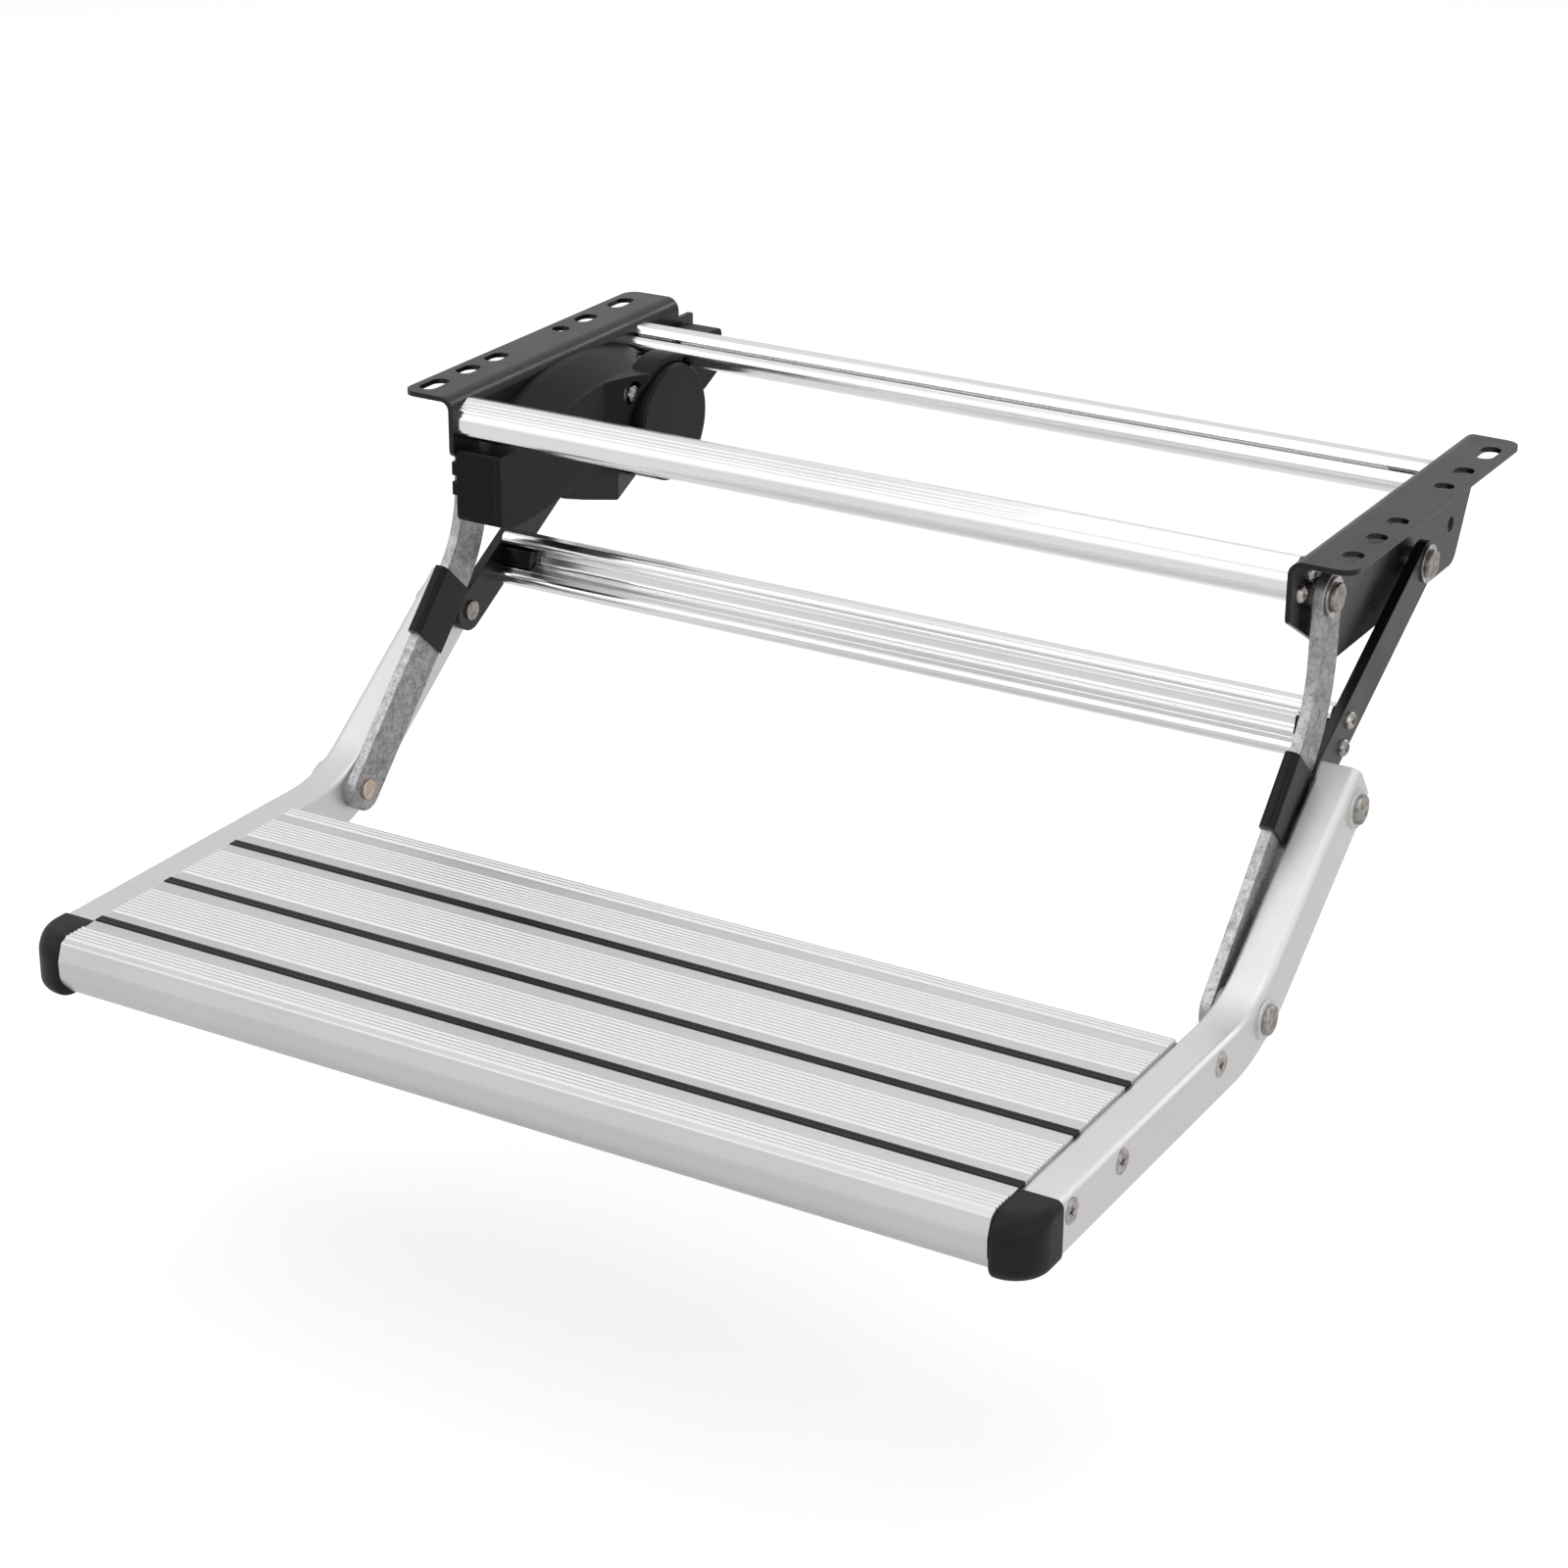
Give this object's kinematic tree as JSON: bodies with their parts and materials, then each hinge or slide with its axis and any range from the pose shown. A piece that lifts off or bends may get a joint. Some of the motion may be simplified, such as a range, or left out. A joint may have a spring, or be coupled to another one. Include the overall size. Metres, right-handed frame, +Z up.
{
  "type": "caravan entry step",
  "caption": "Fold-out entry step with a ribbed aluminium tread on side bars, hung from two slotted steel brackets by a parallel pair of arms, with a motor unit at one side.",
  "frame": {"origin": "midway between the two round flange holes, on the top of the mounting flanges", "axes": "+X across the vehicle, to the right as seen from the side people step up from; +Y inboard, under the vehicle; +Z up"},
  "size_m": [0.605, 0.614, 0.2405],
  "materials": {
    "black_steel": "black powder coat, semi-matt",
    "zinc_steel": "zinc plated, mottled, with a bright cut edge",
    "mill_aluminium": "natural anodised extrusion",
    "screw_steel": "bright plated",
    "pin_steel": "turned steel, plated",
    "washer_steel": "plated",
    "black_moulding": "fine-grained black moulding",
    "black_rubber": "matt",
    "cap_plastic": "satin black moulding",
    "white_nylon": "natural nylon"
  },
  "bodies": {
    "frame": {"left_bracket": "black_steel", "right_bracket": "black_steel", "front_top_tube": "mill_aluminium", "rear_top_tube": "mill_aluminium", "tube_screws": "screw_steel", "left_front_arm_pin": "pin_steel", "right_front_arm_pin": "pin_steel", "left_rear_arm_pin": "pin_steel", "right_rear_arm_pin": "pin_steel", "pivot_washers": "washer_steel", "pivot_spacers": "washer_steel", "gear_housing": "black_moulding", "gear_casing": "black_moulding", "lower_cover": "black_moulding", "cable_box": "black_moulding", "motor_housing": "black_moulding", "motor_cap": "black_moulding", "housing_bolt": "screw_steel"},
    "rear_arms": {"left_rear_arm": "black_steel", "right_rear_arm": "black_steel", "lower_cross_bar": "mill_aluminium", "cross_bar_inserts": "black_rubber", "cross_bar_screws": "screw_steel"},
    "front_arms": {"left_front_arm": "zinc_steel", "right_front_arm": "zinc_steel", "left_arm_sleeve": "black_rubber", "right_arm_sleeve": "black_rubber", "left_lower_pin_end": "pin_steel", "right_lower_pin_end": "pin_steel"},
    "step": {"left_side_bar": "mill_aluminium", "right_side_bar": "mill_aluminium", "tread_board": "mill_aluminium", "front_grip_strip": "black_rubber", "middle_grip_strip": "black_rubber", "rear_grip_strip": "black_rubber", "left_end_cap": "cap_plastic", "right_end_cap": "cap_plastic", "tread_screws": "screw_steel", "left_upper_bar_pin": "pin_steel", "right_upper_bar_pin": "pin_steel", "left_lower_bar_pin": "pin_steel", "right_lower_bar_pin": "pin_steel", "outer_nylon_washers": "white_nylon", "inner_nylon_washers": "white_nylon"}
  },
  "joints": [
    {"name": "rear_arm_hinge", "type": "hinge", "parent": "frame", "child": "rear_arms", "pos_m": [0, 0.019, -0.0525], "axis": [1, 0, 0], "range_deg": [0, 130]},
    {"name": "front_arm_hinge", "type": "hinge", "parent": "frame", "child": "front_arms", "pos_m": [0, -0.12, -0.0275], "axis": [1, 0, 0], "range_deg": [0, 86]},
    {"name": "step_hinge", "type": "hinge", "parent": "rear_arms", "child": "step", "pos_m": [0, -0.1295, -0.1384], "axis": [1, 0, 0], "range_deg": [-144, 0]}
  ],
  "couplings": [
    {"joint": "front_arm_hinge", "follows": "rear_arm_hinge", "ratio": 0.6552},
    {"joint": "step_hinge", "follows": "rear_arm_hinge", "ratio": -1.1035}
  ]
}
